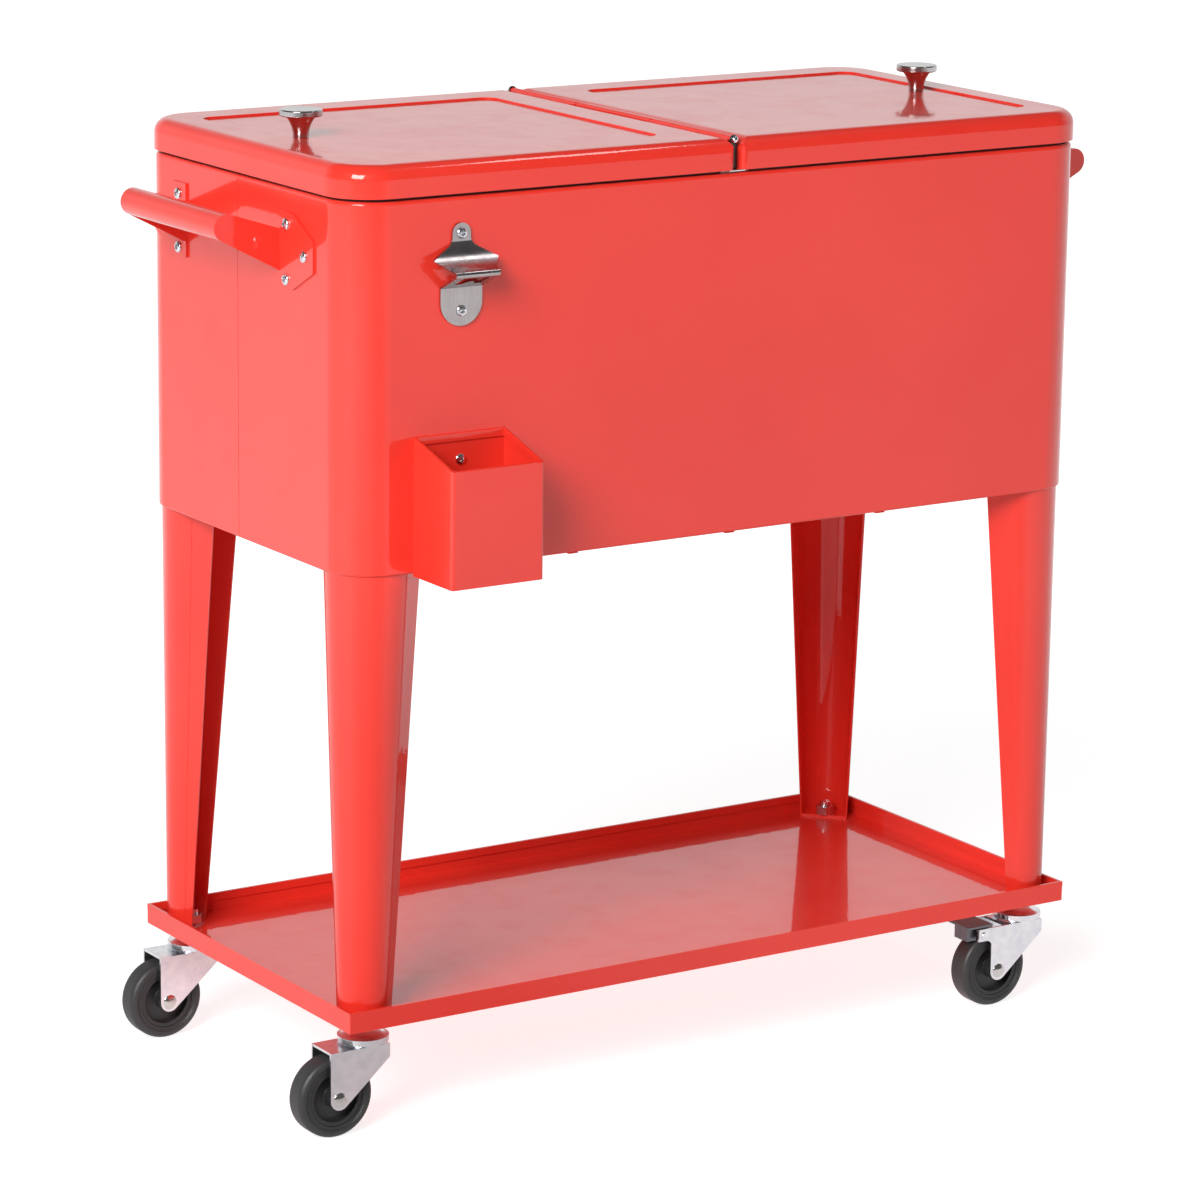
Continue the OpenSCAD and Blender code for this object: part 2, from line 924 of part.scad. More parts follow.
// Edge view of the opener's strip: x is the distance out from the wall and y is height.
module opener_profile() {
  t = 2;
  hood_r = 25.3;
  hood_c = [26.6, 25.3];
  kink_z = 19.5;
  lip_x = 24.8;
  lip_r = 1;
  back_a = 25;
  steep = asin((hood_c[0] - lip_x) / hood_r);
  out = [-sin(steep), -cos(steep)];
  out_past = [-sin(steep - 0.3), -cos(steep - 0.3)];
  lip_c = hood_c + (hood_r + t + lip_r) * out;
  far = 3 * hood_r;
  back = [sin(back_a), -cos(back_a)];
  seat = 0.3 * [cos(back_a), sin(back_a)];
  skin = 0.02;
  back_in = lip_c + (lip_r + skin) * back + seat;
  back_out = lip_c + (lip_r + t - skin) * back + seat;
  wall_z = back_in[1] - back_in[0] * tan(back_a);
  plate_z = back_out[1] - (back_out[0] - t) * tan(back_a);
  translate([0, kink_z])
    square([t, opener_screws[0] + opener_tab_r - kink_z]);
  intersection() {
    translate(hood_c)
      difference() {
        circle(hood_r + t);
        circle(hood_r);
      }
    polygon([[0, kink_z], hood_c, hood_c + far * out_past, [0, -far]]);
  }
  translate(lip_c)
    intersection() {
      difference() {
        circle(lip_r + t);
        circle(lip_r);
      }
      polygon([[0, 0], -far * out, [far, far], [far, -far], far * back]);
    }
  polygon([[0, wall_z], [0, plate_z], [t, plate_z], back_out, back_in]);
  translate([0, opener_screws[1] - opener_plate_r])
    square([t, wall_z + opener_plate_r - opener_screws[1]]);
}

// Front view of the opener, with concave shoulders between the tab and the wings.
module opener_outline() {
  wing = [29, 6.8];
  lip_half = 19.7;
  shoulder = [12.5, 15.7];
  shoulder_z = 22.76;
  fillet_r = 8;
  round_z = -28;
  difference() {
    polygon([[-opener_tab_r, shoulder_z], -[shoulder[0], -shoulder[1]], [-wing[0], wing[1]],
             [-lip_half, -1], [-lip_half, -8], [1 - opener_plate_r, -18], [opener_plate_r - 1, -18],
             [lip_half, -8], [lip_half, -1], wing, shoulder, [opener_tab_r, shoulder_z]]);
    for (s = [-1, 1])
      translate([s * (opener_tab_r + fillet_r), shoulder_z])
        circle(fillet_r);
  }
  translate([-opener_tab_r, shoulder_z - eps])
    square([2 * opener_tab_r, opener_screws[0] - shoulder_z + eps]);
  translate([0, opener_screws[0]])
    circle(opener_tab_r);
  translate([-opener_plate_r, round_z])
    square([2 * opener_plate_r, -12 - round_z]);
  translate([0, round_z])
    circle(opener_plate_r);
}

// Bottle opener bent from one strip: a tab, a winged hood that curves out to a round lip,
// a return with the mouth cut in it, and a round-ended plate.
module bottle_opener() {
  mouth_half = 12;
  mouth_top = -5.6;
  mouth_low = -12.6;
  tooth_r = 6;
  tooth_z = -15.6;
  color([0.78, 0.79, 0.80])
    placed()
      translate([-fitting_x, -half_y, opener_z])
        difference() {
          intersection() {
            rotate([90, 0, -90])
              linear_extrude(70, center = true)
                opener_profile();
            translate([0, 1, 0])
              rotate([90, 0, 0])
                linear_extrude(40)
                  opener_outline();
          }
          translate([0, -5, 0])
            rotate([90, 0, 0])
              linear_extrude(40)
                difference() {
                  translate([-mouth_half, mouth_low])
                    square([2 * mouth_half, mouth_top - mouth_low]);
                  translate([0, tooth_z])
                    circle(tooth_r);
                }
          for (z = opener_screws)
            translate([0, 1, z])
              rotate([90, 0, 0])
                cylinder(r = wall_screw_r + loose / 2, h = 5);
        }
}

module opener_screws() {
  color([0.72, 0.72, 0.74])
    placed()
      at_front_screws([for (z = opener_screws) opener_z + z])
        translate([0, 0, 2])
          pan_head(4.4, 2.4, wall_screw_r, 10);
}

// Outline of the cap catcher seen from above, inset by g, with rounded front corners.
module catcher_outline(g) {
  r = 3;
  w = catcher_w / 2 - g;
  d = catcher_dep - g;
  translate([-w, -d + r])
    square([2 * w, d - r - g]);
  translate([-w + r, -d])
    square([2 * w - 2 * r, r + 1]);
  for (s = [-1, 1])
    translate([s * (w - r), -d + r])
      circle(r);
}

// Everything below the catcher's sloping top edge, lowered by drop.
module below_catcher_top(drop) {
  translate([-catcher_w, 0, 0])
    rotate([90, 0, 90])
      linear_extrude(2 * catcher_w)
        polygon([[0, -2 * catcher_drop], [0, catcher_back - drop],
                 [-catcher_dep, catcher_front - drop], [-catcher_dep, -2 * catcher_drop]]);
}

module cap_catcher() {
  hem_t = 2 * sheet;
  hem_h = 6;
  color([0.82, 0.10, 0.09])
    placed()
      translate([-fitting_x, -half_y, tub_z])
        difference() {
          intersection() {
            translate([0, 0, -catcher_drop])
              linear_extrude(catcher_back + catcher_drop)
                catcher_outline(0);
            below_catcher_top(0);
          }
          translate([0, 0, -catcher_drop + sheet])
            linear_extrude(2 * catcher_back)
              catcher_outline(hem_t);
          intersection() {
            translate([0, 0, -catcher_drop + sheet])
              linear_extrude(2 * catcher_back)
                catcher_outline(sheet);
            below_catcher_top(hem_h);
          }
          for (z = catcher_screws)
            translate([0, 1, z])
              rotate([90, 0, 0])
                cylinder(r = wall_screw_r + loose / 2, h = 2 * hem_t + 1);
        }
}

module catcher_screws() {
  color([0.72, 0.72, 0.74])
    placed()
      at_front_screws([for (z = catcher_screws) tub_z + z])
        translate([0, 0, sheet])
          pan_head(4.4, 2.4, wall_screw_r, 10);
}

// One leg, standing at the local origin with its rounded nose towards +X: a conical nose,
// two flared flanges, a foot plate and a top plate.
module leg() {
  over = 8;
  slope = (nose_top - nose_bot) / leg_len;
  full = leg_len + 2 * over;
  spread = atan(slope);
  bite = 2;
  sink = 0.3;
  intersection() {
    rotate([0, -leg_tilt, 0]) {
      translate([0, 0, -over])
        intersection() {
          difference() {
            cylinder(r1 = nose_bot - over * slope, r2 = nose_top + over * slope, h = full);
            translate([0, 0, -1])
              cylinder(r1 = nose_bot - leg_t - (over + 1) * slope,
                       r2 = nose_top - leg_t + (over + 1) * slope, h = full + 2);
          }
          translate([0, -2 * nose_top, 0])
            cube([2 * nose_top, 4 * nose_top, full]);
        }
      for (m = [0, 1])
        mirror([0, m, 0])
          translate([0, nose_bot - sink, 0])
            rotate([-spread, 0, 0])
              rotate([0, 0, -flange_flare])
                rotate([90, 0, 0])
                  linear_extrude(leg_t)
                    polygon([[bite, 0], [-flange_bot, 0], [-flange_top, leg_len],
                             [-flange_top - 1, leg_len + over], [bite, leg_len + over]]);
    }
    translate([-4 * nose_top, -4 * nose_top, 0])
      cube([8 * nose_top, 8 * nose_top, leg_len]);
  }
  difference() {
    linear_extrude(foot_t)
      leg_plate(nose_bot - leg_t / 2, flange_bot);
    translate([0, 0, -1])
      cylinder(r = stem_r + loose, h = foot_t + 2);
  }
  translate([-nose_shift, 0, leg_len - foot_t])
    difference() {
      linear_extrude(foot_t)
        leg_plate(nose_top - leg_t / 2, flange_top - 2);
      translate([0, 0, -1])
        cylinder(r = bolt_r + loose, h = foot_t + 2);
    }
}

// Plan of a plate that closes a leg: a half disc with a straight part behind it.
module leg_plate(r, back) {
  intersection() {
    circle(r);
    translate([0, -r])
      square([r, 2 * r]);
  }
  translate([-back, -r])
    square([back + eps, 2 * r]);
}

// Puts a leg at the corner given by the signs of x and y.
module leg_at(sx, sy) {
  color([0.80, 0.09, 0.08])
    placed()
      translate([sx * nose_x, sy * nose_y, leg_z0])
        rotate([0, 0, atan2(sy, sx)])
          leg();
}

module leg_front_left() {
  leg_at(-1, -1);
}

module leg_front_right() {
  leg_at(1, -1);
}

module leg_back_left() {
  leg_at(-1, 1);
}

module leg_back_right() {
  leg_at(1, 1);
}

module leg_bolts() {
  head_h = 5;
  grip = foot_t + sheet;
  color([0.72, 0.72, 0.74])
    placed()
      at_leg_tops() {
        translate([0, 0, pan_z - foot_t - head_h])
          cylinder(r = 7, h = head_h, $fn = 6);
        translate([0, 0, pan_z - foot_t - eps])
          cylinder(r = bolt_r, h = grip + 8);
      }
}

module leg_nuts() {
  color([0.72, 0.72, 0.74])
    placed()
      at_leg_tops()
        translate([0, 0, pan_z + sheet])
          difference() {
            cylinder(r = 7.5, h = 6, $fn = 6);
            translate([0, 0, -1])
              cylinder(r = bolt_r + fit, h = 8);
          }
}

module tray() {
  hem_h = 7;
  slit_w = 0.6;
  slit_h = 13;
  out_x = half_x;
  out_y = half_y;
  color([0.80, 0.10, 0.09])
    placed()
      difference() {
        translate([-out_x, -out_y, tray_z])
          cube([2 * out_x, 2 * out_y, tray_rim]);
        translate([-out_x + sheet, -out_y + sheet, tray_z + sheet])
          cube([2 * (out_x - sheet), 2 * (out_y - sheet), tray_rim - sheet - hem_h]);
        translate([-out_x + 2 * sheet, -out_y + 2 * sheet, tray_z + sheet])
          cube([2 * (out_x - 2 * sheet), 2 * (out_y - 2 * sheet), tray_rim]);
        for (sx = [-1, 1], sy = [-1, 1])
          translate([sx * out_x, sy * out_y, tray_z - eps])
            rotate([0, 0, 45])
              translate([-slit_w / 2, -slit_w / 2, 0])
                cube([slit_w, slit_w, slit_h]);
        at_corners()
          translate([0, 0, tray_z - 1])
            cylinder(r = stem_r + loose, h = sheet + 2);
      }
}

// Fixed part of each caster: a threaded stem with the cap of the swivel race under it.
module caster_stems() {
  head_r = 8.5;
  head_t = 3;
  ring_h = 4.5;
  neck_r = 12;
  bow = cup_r - neck_r;
  stem_low = fork_top - fork_t - fork_gap - head_t;
  stem_high = leg_z0 + foot_t + 12;
  color([0.78, 0.79, 0.80])
    placed()
      at_corners() {
        translate([0, 0, stem_low])
          cylinder(r = head_r, h = head_t);
        translate([0, 0, stem_low + head_t - eps])
          cylinder(r = stem_r, h = stem_high - stem_low - head_t);
        translate([0, 0, cup_z])
          rotate_extrude() {
            square([cup_r, ring_h]);
            translate([0, ring_h - eps])
              square([neck_r, cup_h - ring_h + eps]);
            translate([neck_r - eps, ring_h])
              difference() {
                square(bow);
                translate([bow, bow])
                  circle(bow);
              }
          }
      }
}

module stem_nuts() {
  nut_h = 8;
  color([0.72, 0.72, 0.74])
    placed()
      at_corners()
        translate([0, 0, leg_z0 + foot_t])
          difference() {
            cylinder(r = 9, h = nut_h, $fn = 6);
            translate([0, 0, -1])
              cylinder(r = stem_r + fit, h = nut_h + 2);
          }
}

// Side of a fork in the plane of the wheel. With braked set, it has an ear for the pedal.
module fork_side(braked) {
  axle = [-trail, wheel_r];
  top_right = [fork_lead, fork_top];
  low_right = [fork_lead, fork_top - 11];
  p = tangent_at(low_right, axle, fork_eye_r, -1);
  difference() {
    union() {
      polygon([[axle[0] - fork_eye_r, fork_top], [axle[0] - fork_eye_r, axle[1]], axle, p,
               low_right, top_right]);
      translate(axle)
        circle(fork_eye_r);
      if (braked) {
        translate([-ear_back, fork_top - 11])
          square([ear_back - fork_back, 11]);
        translate([-fork_back - 6, fork_top - 17])
          difference() {
            square([6 + eps, 6 + eps]);
            circle(6);
          }
      }
    }
    translate(axle)
      circle(axle_r + fit);
    if (braked)
      translate(pedal_pin)
        circle(pedal_pin_r + fit);
  }
}

// Fork of one caster at its own swivel axis, trailing towards -X.
module fork(braked) {
  plate_back = braked ? 22 : fork_back;
  for (y = [-fork_in, fork_in + fork_t])
    translate([0, y, 0])
      rotate([90, 0, 0])
        linear_extrude(fork_t)
          fork_side(braked);
  difference() {
    union() {
      translate([-plate_back, -fork_in - eps, fork_top - fork_t])
        cube([plate_back + fork_lead, 2 * fork_in + 2 * eps, fork_t]);
      translate([0, 0, fork_top - eps])
        cylinder(r = dish_r, h = dish_t + eps);
    }
    translate([0, 0, fork_top - 2 * fork_t])
      cylinder(r = stem_r + fit, h = 4 * fork_t);
  }
  if (braked)
    translate([pedal_pin[0], fork_in + fork_t + 1, pedal_pin[1]])
      rotate([90, 0, 0]) {
        cylinder(r = pedal_pin_r, h = 2 * (fork_in + fork_t + 1));
        for (z = [0, 2 * (fork_in + fork_t) + 1])
          translate([0, 0, z])
            cylinder(r = 3.4, h = 1);
      }
}

// Axle of one caster, with a domed rivet head at each end.
module axle() {
  half = fork_in + fork_t;
  translate([-trail, half, wheel_r])
    rotate([90, 0, 0]) {
      cylinder(r = axle_r, h = 2 * half);
      mirror([0, 0, 1])
        pan_head(rivet_r, rivet_h, axle_r, 1);
      translate([0, 0, 2 * half])
        pan_head(rivet_r, rivet_h, axle_r, 1);
    }
}

// Plastic centre of one wheel.
module wheel_core() {
  hub_r = 8.5;
  hub_half = 13.4;
  web_half = 4;
  rim_in = 20;
  rim_half = 9.6;
  translate([-trail, 0, wheel_r])
    rotate([90, 0, 0])
      rotate_extrude() {
        translate([axle_r + fit, -hub_half])
          square([hub_r - axle_r - fit, 2 * hub_half]);
        translate([hub_r - eps, -web_half])
          square([rim_in - hub_r + 2 * eps, 2 * web_half]);
        translate([rim_in, -rim_half])
          square([tyre_in - rim_in, 2 * rim_half]);
      }
}

// Rubber tread of one wheel, with rounded shoulders and a step round each side.
module tyre() {
  shoulder = 5;
  gap = 0.05;
  step = 0.8;
  step_r = 27.5;
  half = wheel_w / 2;
  translate([-trail, 0, wheel_r])
    rotate([90, 0, 0])
      rotate_extrude() {
        translate([tyre_in + gap, -half + step])
          square([step_r - tyre_in - gap + eps, 2 * (half - step)]);
        translate([step_r, -half])
          square([wheel_r - shoulder - step_r + eps, 2 * half]);
        translate([wheel_r - shoulder, -half + shoulder])
          square([shoulder, 2 * (half - shoulder)]);
        for (s = [-1, 1])
          translate([wheel_r - shoulder, s * (half - shoulder)])
            intersection() {
              circle(shoulder);
              translate([0, s > 0 ? 0 : -shoulder])
                square(shoulder);
            }
      }
}

// Foot pedal of a locking caster: a tread plate, two lugs on the pin and the brake shoe.
module pedal() {
  lug_out = 13.5;
  lug_t = 1.8;
  tread_half = 16.5;
  tread_from = -64;
  tread_to = -38;
  tread_z = fork_top + 1.7;
  tread_t = 2;
  shoe_half = 9;
  shoe_z = fork_top - 11.3;
  difference() {
    union() {
      translate([tread_from, -tread_half, tread_z])
        cube([tread_to - tread_from, 2 * tread_half, tread_t]);
      translate([-60, -shoe_half, shoe_z])
        cube([10, 2 * shoe_half, tread_z - shoe_z + eps]);
      for (s = [-1, 1])
        translate([pedal_pin[0], s > 0 ? lug_out : -lug_out + lug_t, 0])
          rotate([90, 0, 0])
            linear_extrude(lug_t) {
              translate([-4, pedal_pin[1]])
                square([8, tread_z - pedal_pin[1] + eps]);
              translate([0, pedal_pin[1]])
                circle(4);
            }
    }
    translate([pedal_pin[0], tread_half, pedal_pin[1]])
      rotate([90, 0, 0])
        cylinder(r = pedal_pin_r + fit, h = 2 * tread_half);
  }
}

// Puts caster pieces at the corner given by the signs of x and y.
module caster_at(sx, sy) {
  placed()
    translate([sx * nose_x, sy * nose_y, 0])
      children();
}

module fork_front_left() {
  color([0.78, 0.79, 0.80])
    caster_at(-1, -1)
      fork(false);
}

module axle_front_left() {
  color([0.75, 0.73, 0.68])
    caster_at(-1, -1)
      axle();
}

module wheel_front_left() {
  color([0.10, 0.10, 0.11])
    caster_at(-1, -1)
      wheel_core();
}

module tyre_front_left() {
  color([0.06, 0.06, 0.06])
    caster_at(-1, -1)
      tyre();
}

module fork_front_right() {
  color([0.78, 0.79, 0.80])
    caster_at(1, -1)
      fork(true);
}

module axle_front_right() {
  color([0.75, 0.73, 0.68])
    caster_at(1, -1)
      axle();
}

module wheel_front_right() {
  color([0.10, 0.10, 0.11])
    caster_at(1, -1)
      wheel_core();
}

module tyre_front_right() {
  color([0.06, 0.06, 0.06])
    caster_at(1, -1)
      tyre();
}

module pedal_front_right() {
  color([0.16, 0.16, 0.17])
    caster_at(1, -1)
      pedal();
}

module fork_back_left() {
  color([0.78, 0.79, 0.80])
    caster_at(-1, 1)
      fork(false);
}

module axle_back_left() {
  color([0.75, 0.73, 0.68])
    caster_at(-1, 1)
      axle();
}

module wheel_back_left() {
  color([0.10, 0.10, 0.11])
    caster_at(-1, 1)
      wheel_core();
}

module tyre_back_left() {
  color([0.06, 0.06, 0.06])
    caster_at(-1, 1)
      tyre();
}

module fork_back_right() {
  color([0.78, 0.79, 0.80])
    caster_at(1, 1)
      fork(true);
}

module axle_back_right() {
  color([0.75, 0.73, 0.68])
    caster_at(1, 1)
      axle();
}

module wheel_back_right() {
  color([0.10, 0.10, 0.11])
    caster_at(1, 1)
      wheel_core();
}

module tyre_back_right() {
  color([0.06, 0.06, 0.06])
    caster_at(1, 1)
      tyre();
}

module pedal_back_right() {
  color([0.16, 0.16, 0.17])
    caster_at(1, 1)
      pedal();
}

// Drain spout: a flanged tube from inside the liner out through the right end.
module drain_spout() {
  bore_r = 5.5;
  flange_r = 13;
  x_in = half_x - liner_inset - liner_t - 0.5;
  color([0.90, 0.90, 0.88])
    placed()
      translate([x_in, drain_y, drain_z])
        rotate([0, 90, 0])
          difference() {
            union() {
              translate([0, 0, -2])
                cylinder(r = flange_r, h = 2);
              cylinder(r = drain_r, h = half_x - x_in + spout_out);
            }
            translate([0, 0, -3])
              cylinder(r = bore_r, h = tub_dep);
          }
}

module drain_nut() {
  nut_t = 5;
  color([0.16, 0.16, 0.17])
    placed()
      translate([half_x, drain_y, drain_z])
        rotate([0, 90, 0])
          difference() {
            cylinder(r = 14, h = nut_t, $fn = 6);
            translate([0, 0, -1])
              cylinder(r = drain_r + fit, h = nut_t + 2);
          }
}

// Cap that screws over the spout's end.
module drain_cap() {
  cap_r = 11;
  cap_from = 6;
  wall = 2;
  color([0.16, 0.16, 0.17])
    placed()
      translate([half_x + cap_from, drain_y, drain_z])
        rotate([0, 90, 0])
          difference() {
            cylinder(r = cap_r, h = spout_out - cap_from + fork_gap + wall);
            translate([0, 0, -1])
              cylinder(r = drain_r + fit, h = spout_out - cap_from + fork_gap + 1);
          }
}

tub_wrap_front();
tub_wrap_back();
tub_bottom_pan();
bottom_clips();
tub_foam();
tub_liner();
crossbar();
hinge_brackets();
hinge_feet();
bracket_screws();
hinge_pin();
left_lid_shell();
left_lid_liner();
left_lid_foam();
left_lid_seal();
left_knob();
left_knob_screw();
right_lid_shell();
right_lid_liner();
right_lid_foam();
right_lid_seal();
right_knob();
right_knob_screw();
left_handle();
right_handle();
handle_screws();
bottle_opener();
opener_screws();
cap_catcher();
catcher_screws();
leg_front_left();
leg_front_right();
leg_back_left();
leg_back_right();
leg_bolts();
leg_nuts();
tray();
caster_stems();
stem_nuts();
fork_front_left();
axle_front_left();
wheel_front_left();
tyre_front_left();
fork_front_right();
axle_front_right();
wheel_front_right();
tyre_front_right();
pedal_front_right();
fork_back_left();
axle_back_left();
wheel_back_left();
tyre_back_left();
fork_back_right();
axle_back_right();
wheel_back_right();
tyre_back_right();
pedal_back_right();
drain_spout();
drain_nut();
drain_cap();
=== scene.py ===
"""Looks of the rolling patio cooler: materials, finished pieces over the CAD frame, studio and camera."""
import json
import math

import bmesh
import bpy
import numpy as np
from mathutils import Matrix, Vector


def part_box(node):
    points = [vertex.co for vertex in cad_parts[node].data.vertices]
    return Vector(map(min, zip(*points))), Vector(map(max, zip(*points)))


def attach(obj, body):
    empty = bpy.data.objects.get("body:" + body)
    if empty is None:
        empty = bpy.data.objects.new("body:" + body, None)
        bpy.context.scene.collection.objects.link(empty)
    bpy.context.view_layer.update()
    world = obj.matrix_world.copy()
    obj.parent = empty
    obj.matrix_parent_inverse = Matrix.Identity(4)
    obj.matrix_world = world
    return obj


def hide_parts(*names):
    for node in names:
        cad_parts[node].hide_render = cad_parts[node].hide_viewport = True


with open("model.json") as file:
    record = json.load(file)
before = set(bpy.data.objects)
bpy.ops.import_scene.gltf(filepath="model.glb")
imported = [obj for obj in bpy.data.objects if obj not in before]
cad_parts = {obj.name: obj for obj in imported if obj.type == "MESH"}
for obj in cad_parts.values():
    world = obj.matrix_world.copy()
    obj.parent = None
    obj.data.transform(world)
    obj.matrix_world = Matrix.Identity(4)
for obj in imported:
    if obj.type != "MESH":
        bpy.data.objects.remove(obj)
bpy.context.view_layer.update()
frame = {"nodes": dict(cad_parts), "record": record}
RECORD = frame["record"]
MM = 0.001

SLOT_OF = {part["node"]: part["material_slot"] for part in RECORD["subparts"]}
BODY_OF = {node: body for body, nodes in RECORD["behaviour"]["bodies"].items() for node in nodes}
CORNERS = ["front_left", "front_right", "back_left", "back_right"]


def centre_of(node):
    """Middle of a CAD node's box."""
    low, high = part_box(node)
    return (Vector(low) + Vector(high)) / 2


def size_of(node):
    """Size of a CAD node's box."""
    low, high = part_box(node)
    return Vector(high) - Vector(low)


# ---------------------------------------------------------------- material helpers

def new_material(name, **inputs):
    """Material with a Principled shader whose constant values are set on its own sockets."""
    mat = bpy.data.materials.new(name)
    mat.use_nodes = True
    bsdf = mat.node_tree.nodes["Principled BSDF"]
    for key, value in inputs.items():
        bsdf.inputs[key.replace("_", " ")].default_value = value
    return mat, mat.node_tree, bsdf


def texture_space(tree, scale=(1, 1, 1)):
    """Object coordinates, which are the frame's metres, stretched by scale."""
    coords = tree.nodes.new("ShaderNodeTexCoord")
    mapping = tree.nodes.new("ShaderNodeMapping")
    mapping.inputs["Scale"].default_value = scale
    tree.links.new(coords.outputs["Object"], mapping.inputs["Vector"])
    return mapping.outputs["Vector"]


def noise(tree, vector, scale, detail=3.0, roughness=0.5):
    """Factor output of a noise texture."""
    node = tree.nodes.new("ShaderNodeTexNoise")
    node.inputs["Scale"].default_value = scale
    node.inputs["Detail"].default_value = detail
    node.inputs["Roughness"].default_value = roughness
    tree.links.new(vector, node.inputs["Vector"])
    return node.outputs["Fac"]


def remap(tree, value, low, high, from_low=0.3, from_high=0.7):
    """Maps a factor to the range low..high."""
    node = tree.nodes.new("ShaderNodeMapRange")
    node.inputs["From Min"].default_value = from_low
    node.inputs["From Max"].default_value = from_high
    node.inputs["To Min"].default_value = low
    node.inputs["To Max"].default_value = high
    tree.links.new(value, node.inputs["Value"])
    return node.outputs["Result"]


def colour_mix(tree, factor, first, second):
    """Blends two colours by a factor."""
    node = tree.nodes.new("ShaderNodeMix")
    node.data_type = "RGBA"
    node.inputs[6].default_value = (*first, 1)
    node.inputs[7].default_value = (*second, 1)
    tree.links.new(factor, node.inputs["Factor"])
    return node.outputs[2]


def dot_with(tree, vector, direction):
    """Dot product of a vector output with a fixed direction."""
    node = tree.nodes.new("ShaderNodeVectorMath")
    node.operation = "DOT_PRODUCT"
    node.inputs[1].default_value = direction
    tree.links.new(vector, node.inputs[0])
    return node.outputs["Value"]


def math_of(tree, operation, first, second):
    """Result of a two-value math node."""
    node = tree.nodes.new("ShaderNodeMath")
    node.operation = operation
    tree.links.new(first, node.inputs[0])
    tree.links.new(second, node.inputs[1])
    return node.outputs[0]


def bump(tree, height, distance, strength=1.0, below=None):
    """Normal from a height, on top of another bump if one is given."""
    node = tree.nodes.new("ShaderNodeBump")
    node.inputs["Strength"].default_value = strength
    node.inputs["Distance"].default_value = distance
    tree.links.new(height, node.inputs["Height"])
    if below is not None:
        tree.links.new(below, node.inputs["Normal"])
    return node.outputs["Normal"]


# ---------------------------------------------------------------- materials

def enamel(name, deep, light, roughness=0.30):
    """Glossy sprayed enamel: slight orange peel, soft tone drift and faint handling marks."""
    mat, tree, bsdf = new_material(name, Coat_Weight=0.85, Coat_Roughness=0.02, Coat_IOR=1.5,
                                   Specular_IOR_Level=0.12)
    space = texture_space(tree)
    drift = remap(tree, noise(tree, space, 5.0, 2.0), 0.0, 1.0)
    tree.links.new(colour_mix(tree, drift, deep, light), bsdf.inputs["Base Color"])
    smudge = remap(tree, noise(tree, space, 22.0, 5.0, 0.65), roughness, roughness + 0.15, 0.45, 0.8)
    tree.links.new(smudge, bsdf.inputs["Roughness"])
    peel = bump(tree, noise(tree, space, 240.0, 1.0), 0.00010, 0.35)
    waves = bump(tree, noise(tree, space, 14.0, 1.0), 0.0006, 0.10, peel)
    tree.links.new(waves, bsdf.inputs["Normal"])
    tree.links.new(waves, bsdf.inputs["Coat Normal"])
    return mat


def brushed(name, colour, stretch, roughness=0.24):
    """Steel with fine straight brush lines; stretch is small along the lines."""
    mat, tree, bsdf = new_material(name, Metallic=1.0)
    lines = noise(tree, texture_space(tree, stretch), 900.0, 4.0, 0.7)
    cloud = noise(tree, texture_space(tree), 60.0, 3.0)
    shade = remap(tree, lines, 0.0, 1.0)
    darker = tuple(channel * 0.80 for channel in colour)
    tree.links.new(colour_mix(tree, shade, darker, colour), bsdf.inputs["Base Color"])
    tree.links.new(remap(tree, cloud, roughness, roughness + 0.12), bsdf.inputs["Roughness"])
    tree.links.new(bump(tree, lines, 0.00004, 0.5), bsdf.inputs["Normal"])
    return mat


CLOUD_TINT = (0.837, 0.855, 0.90)


def plated(name, colour, roughness, spangle=0.05):
    """Zinc, nickel or chrome plate with faint cloudiness and tiny pits."""
    mat, tree, bsdf = new_material(name, Metallic=1.0)
    space = texture_space(tree)
    cloud = remap(tree, noise(tree, space, 120.0, 4.0), 0.0, 1.0)
    second = tuple(channel * shift for channel, shift in zip(colour, CLOUD_TINT))
    tree.links.new(colour_mix(tree, cloud, colour, second), bsdf.inputs["Base Color"])
    rough = remap(tree, noise(tree, space, 300.0, 5.0, 0.6), roughness, roughness + spangle * 2)
    tree.links.new(rough, bsdf.inputs["Roughness"])
    tree.links.new(bump(tree, noise(tree, space, 700.0, 2.0), 0.00003, 0.3), bsdf.inputs["Normal"])
    return mat


def moulded(name, colour, roughness, grain=900.0, depth=0.00004, coat=0.0):
    """Moulded plastic or rubber with a fine grain and uneven sheen."""
    mat, tree, bsdf = new_material(name, Coat_Weight=coat, Coat_Roughness=0.1)
    space = texture_space(tree)
    dust = remap(tree, noise(tree, space, 90.0, 4.0), 0.0, 1.0, 0.4, 0.8)
    lighter = tuple(min(1.0, channel * 1.05 + 0.004) for channel in colour)
    tree.links.new(colour_mix(tree, dust, colour, lighter), bsdf.inputs["Base Color"])
    rough = remap(tree, noise(tree, space, 45.0, 3.0), roughness, roughness + 0.12)
    tree.links.new(rough, bsdf.inputs["Roughness"])
    tree.links.new(bump(tree, noise(tree, space, grain, 2.0), depth, 0.6), bsdf.inputs["Normal"])
    return mat


def rigid_foam(name):
    """Pale foam with open cells."""
    mat, tree, bsdf = new_material(name, Roughness=0.9)
    cells = tree.nodes.new("ShaderNodeTexVoronoi")
    cells.inputs["Scale"].default_value = 700.0
    tree.links.new(texture_space(tree), cells.inputs["Vector"])
    tone = remap(tree, cells.outputs["Distance"], 0.0, 1.0, 0.0, 0.8)
    tree.links.new(colour_mix(tree, tone, (0.86, 0.80, 0.62), (0.70, 0.62, 0.42)), bsdf.inputs["Base Color"])
    tree.links.new(bump(tree, cells.outputs["Distance"], 0.0004, 0.6), bsdf.inputs["Normal"])
    return mat


